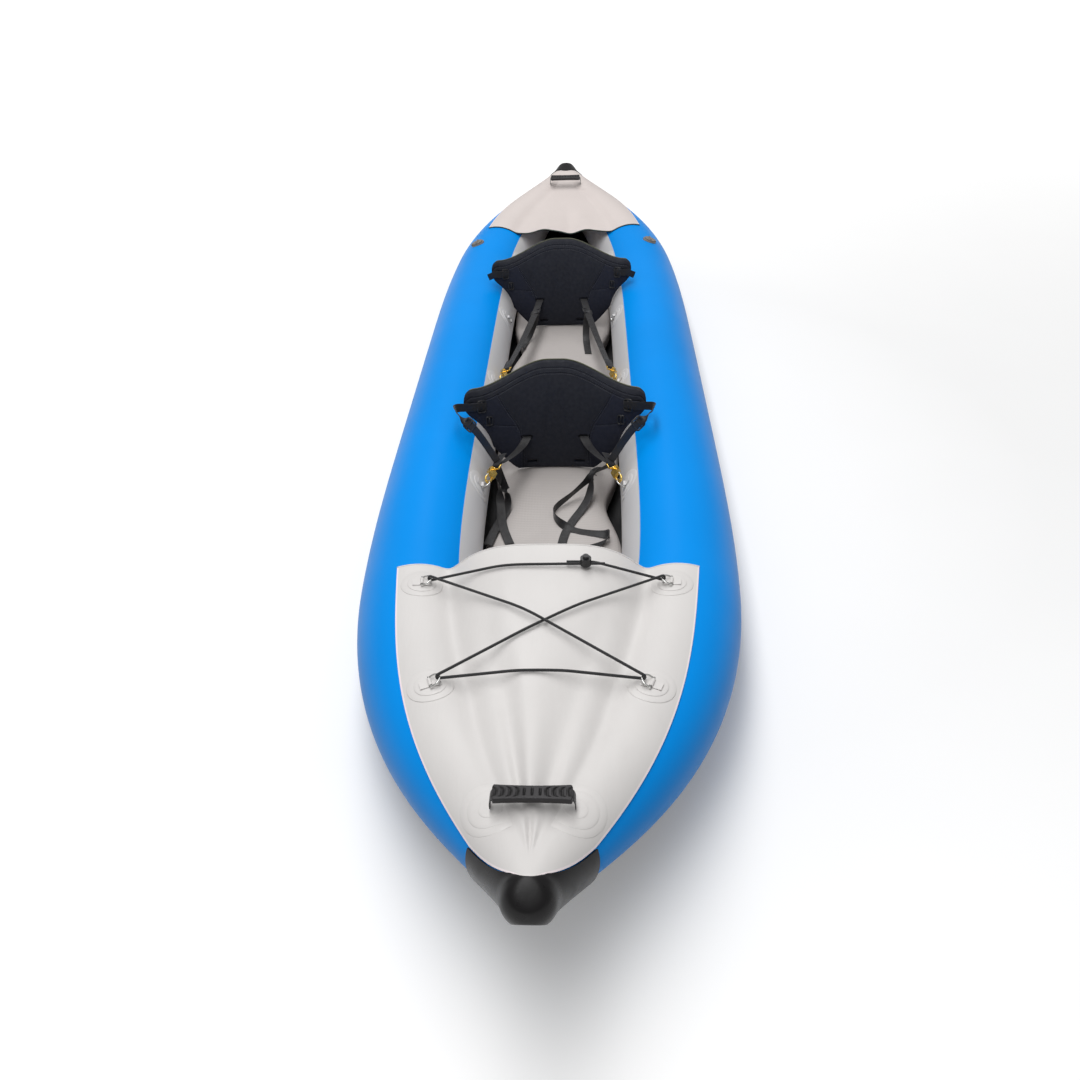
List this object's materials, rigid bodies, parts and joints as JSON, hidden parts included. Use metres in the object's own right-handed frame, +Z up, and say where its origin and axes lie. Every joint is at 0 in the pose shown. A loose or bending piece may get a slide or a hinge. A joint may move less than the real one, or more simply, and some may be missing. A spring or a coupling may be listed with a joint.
{
  "type": "inflatable tandem kayak",
  "caption": "Open inflatable kayak for two: round side tubes, flat air floor, fabric bow and stern decks, strapped-in backrests, snap hooks, deck bungee and carry handles.",
  "frame": {"origin": "amidships on the centre line, on the ground under the side tubes", "axes": "+Y from bow to stern, +X to the right-hand side as seen from the bow looking astern, +Z up"},
  "size_m": [0.9486, 4.0984, 0.413],
  "materials": {
    "hull_pvc": "satin",
    "panel_pvc": "satin",
    "bottom_pvc": "matte",
    "floor_pvc": "matte",
    "deck_pvc": "satin",
    "cap_rubber": "matte",
    "patch_pvc": "satin",
    "ring_steel": "polished",
    "cord": "woven",
    "black_plastic": "moulded",
    "grip_rubber": "matte",
    "webbing": "woven",
    "valve_plastic": "moulded",
    "stem_plastic": "moulded",
    "spring_steel": "drawn",
    "seat_fabric": "woven",
    "back_panel": "woven",
    "hook_brass": "cast"
  },
  "bodies": {
    "hull": {"left_tube": "hull_pvc", "right_tube": "hull_pvc", "left_inner_panel": "panel_pvc", "right_inner_panel": "panel_pvc", "bottom_skin": "bottom_pvc", "floor_mat": "floor_pvc", "bow_deck": "deck_pvc", "stern_deck": "deck_pvc", "bow_cap": "cap_rubber", "stern_cap": "cap_rubber", "deck_ring_patches": "patch_pvc", "deck_rings": "ring_steel", "seat_ring_patches": "patch_pvc", "hooked_rings": "ring_steel", "bungee_cord": "cord", "cord_lock_body": "black_plastic", "handle_patches": "patch_pvc", "left_valve_body": "valve_plastic", "right_valve_body": "valve_plastic", "floor_valve_body": "valve_plastic", "valve_springs": "spring_steel", "front_seat_left_strap": "webbing", "front_seat_right_strap": "webbing", "front_seat_rear_straps": "webbing", "front_seat_tails": "webbing", "rear_seat_left_strap": "webbing", "rear_seat_right_strap": "webbing", "rear_seat_rear_straps": "webbing", "snap_hooks": "hook_brass", "hook_eyes": "hook_brass"},
    "front_backrest": {"front_seat_pad": "seat_fabric", "front_seat_panel": "back_panel", "front_seat_buckles": "black_plastic"},
    "rear_backrest": {"rear_seat_pad": "seat_fabric", "rear_seat_panel": "back_panel", "rear_seat_buckles": "black_plastic", "rear_seat_tabs": "webbing"},
    "left_free_ring": {"left_free_ring": "ring_steel"},
    "right_free_ring": {"right_free_ring": "ring_steel"},
    "cord_lock_button": {"cord_lock_button": "black_plastic"},
    "bow_handle": {"bow_handle_webbing": "webbing", "bow_handle_grip": "grip_rubber"},
    "stern_handle": {"stern_handle_webbing": "webbing", "stern_handle_grip": "grip_rubber"},
    "left_valve_stem": {"left_valve_stem": "stem_plastic"},
    "left_valve_cap": {"left_valve_cap": "valve_plastic"},
    "right_valve_stem": {"right_valve_stem": "stem_plastic"},
    "right_valve_cap": {"right_valve_cap": "valve_plastic"},
    "floor_valve_stem": {"floor_valve_stem": "stem_plastic"},
    "floor_valve_cap": {"floor_valve_cap": "valve_plastic"},
    "front_seat_bolt_front_left": {"front_seat_bolt_front_left": "hook_brass"},
    "front_seat_bolt_front_right": {"front_seat_bolt_front_right": "hook_brass"},
    "front_seat_bolt_rear_left": {"front_seat_bolt_rear_left": "hook_brass"},
    "front_seat_bolt_rear_right": {"front_seat_bolt_rear_right": "hook_brass"},
    "rear_seat_bolt_front_left": {"rear_seat_bolt_front_left": "hook_brass"},
    "rear_seat_bolt_front_right": {"rear_seat_bolt_front_right": "hook_brass"},
    "rear_seat_bolt_rear_left": {"rear_seat_bolt_rear_left": "hook_brass"},
    "rear_seat_bolt_rear_right": {"rear_seat_bolt_rear_right": "hook_brass"}
  },
  "joints": [
    {"name": "front_backrest_tilt", "type": "hinge", "parent": "hull", "child": "front_backrest", "pos_m": [0, -0.365, 0.10107], "axis": [1, 0, 0], "range_deg": [0, 20], "deforming": ["front_seat_left_strap", "front_seat_right_strap", "front_seat_rear_straps"]},
    {"name": "rear_backrest_tilt", "type": "hinge", "parent": "hull", "child": "rear_backrest", "pos_m": [0, 0.7, 0.10107], "axis": [1, 0, 0], "range_deg": [0, 20], "deforming": ["rear_seat_left_strap", "rear_seat_right_strap", "rear_seat_rear_straps"]},
    {"name": "left_free_ring_swing", "type": "hinge", "parent": "hull", "child": "left_free_ring", "pos_m": [-0.19472, 0.52929, 0.20797], "axis": [-0.0052, -1, 0], "range_deg": [0, 140]},
    {"name": "right_free_ring_swing", "type": "hinge", "parent": "hull", "child": "right_free_ring", "pos_m": [0.19472, 0.52929, 0.20797], "axis": [-0.0052, 1, 0], "range_deg": [0, 140]},
    {"name": "cord_lock_press", "type": "slide", "parent": "hull", "child": "cord_lock_button", "axis": [0, 0, -1], "range_m": [0, 0.004], "stiffness_N_per_m": 300},
    {"name": "bow_handle_swing", "type": "hinge", "parent": "hull", "child": "bow_handle", "pos_m": [0, -1.85023, 0.36458], "axis": [1, 0, 0], "range_deg": [-22, 22]},
    {"name": "stern_handle_swing", "type": "hinge", "parent": "hull", "child": "stern_handle", "pos_m": [0, 1.7761, 0.35293], "axis": [1, 0, 0], "range_deg": [-22, 22]},
    {"name": "left_valve_press", "type": "slide", "parent": "hull", "child": "left_valve_stem", "axis": [0.3453, 0.0086, -0.9385], "range_m": [0, 0.006], "stiffness_N_per_m": 300},
    {"name": "left_valve_cap_open", "type": "hinge", "parent": "hull", "child": "left_valve_cap", "pos_m": [-0.38057, 1.12534, 0.28366], "axis": [-0.1149, -0.9921, -0.0514], "range_deg": [0, 100]},
    {"name": "right_valve_press", "type": "slide", "parent": "hull", "child": "right_valve_stem", "axis": [-0.3453, 0.0086, -0.9385], "range_m": [0, 0.006], "stiffness_N_per_m": 300},
    {"name": "right_valve_cap_open", "type": "hinge", "parent": "hull", "child": "right_valve_cap", "pos_m": [0.38057, 1.12534, 0.28366], "axis": [-0.1149, 0.9921, 0.0514], "range_deg": [0, 100]},
    {"name": "floor_valve_press", "type": "slide", "parent": "hull", "child": "floor_valve_stem", "axis": [0, 0, -1], "range_m": [0, 0.006], "stiffness_N_per_m": 300},
    {"name": "floor_valve_cap_open", "type": "hinge", "parent": "hull", "child": "floor_valve_cap", "pos_m": [0, 0.9755, 0.10604], "axis": [1, 0, 0], "range_deg": [0, 100]},
    {"name": "front_seat_bolt_front_left_pull", "type": "slide", "parent": "hull", "child": "front_seat_bolt_front_left", "axis": [0.3292, 0.9309, 0.1583], "range_m": [0, 0.009], "stiffness_N_per_m": 250},
    {"name": "front_seat_bolt_front_right_pull", "type": "slide", "parent": "hull", "child": "front_seat_bolt_front_right", "axis": [-0.3292, 0.9309, 0.1583], "range_m": [0, 0.009], "stiffness_N_per_m": 250},
    {"name": "front_seat_bolt_rear_left_pull", "type": "slide", "parent": "hull", "child": "front_seat_bolt_rear_left", "axis": [0.1884, -0.9781, 0.0879], "range_m": [0, 0.009], "stiffness_N_per_m": 250},
    {"name": "front_seat_bolt_rear_right_pull", "type": "slide", "parent": "hull", "child": "front_seat_bolt_rear_right", "axis": [-0.1884, -0.9781, 0.0879], "range_m": [0, 0.009], "stiffness_N_per_m": 250},
    {"name": "rear_seat_bolt_front_left_pull", "type": "slide", "parent": "hull", "child": "rear_seat_bolt_front_left", "axis": [0.1884, 0.9781, 0.0879], "range_m": [0, 0.009], "stiffness_N_per_m": 250},
    {"name": "rear_seat_bolt_front_right_pull", "type": "slide", "parent": "hull", "child": "rear_seat_bolt_front_right", "axis": [-0.1884, 0.9781, 0.0879], "range_m": [0, 0.009], "stiffness_N_per_m": 250},
    {"name": "rear_seat_bolt_rear_left_pull", "type": "slide", "parent": "hull", "child": "rear_seat_bolt_rear_left", "axis": [0.0884, -0.9957, 0.0285], "range_m": [0, 0.009], "stiffness_N_per_m": 250},
    {"name": "rear_seat_bolt_rear_right_pull", "type": "slide", "parent": "hull", "child": "rear_seat_bolt_rear_right", "axis": [-0.0884, -0.9957, 0.0285], "range_m": [0, 0.009], "stiffness_N_per_m": 250}
  ]
}
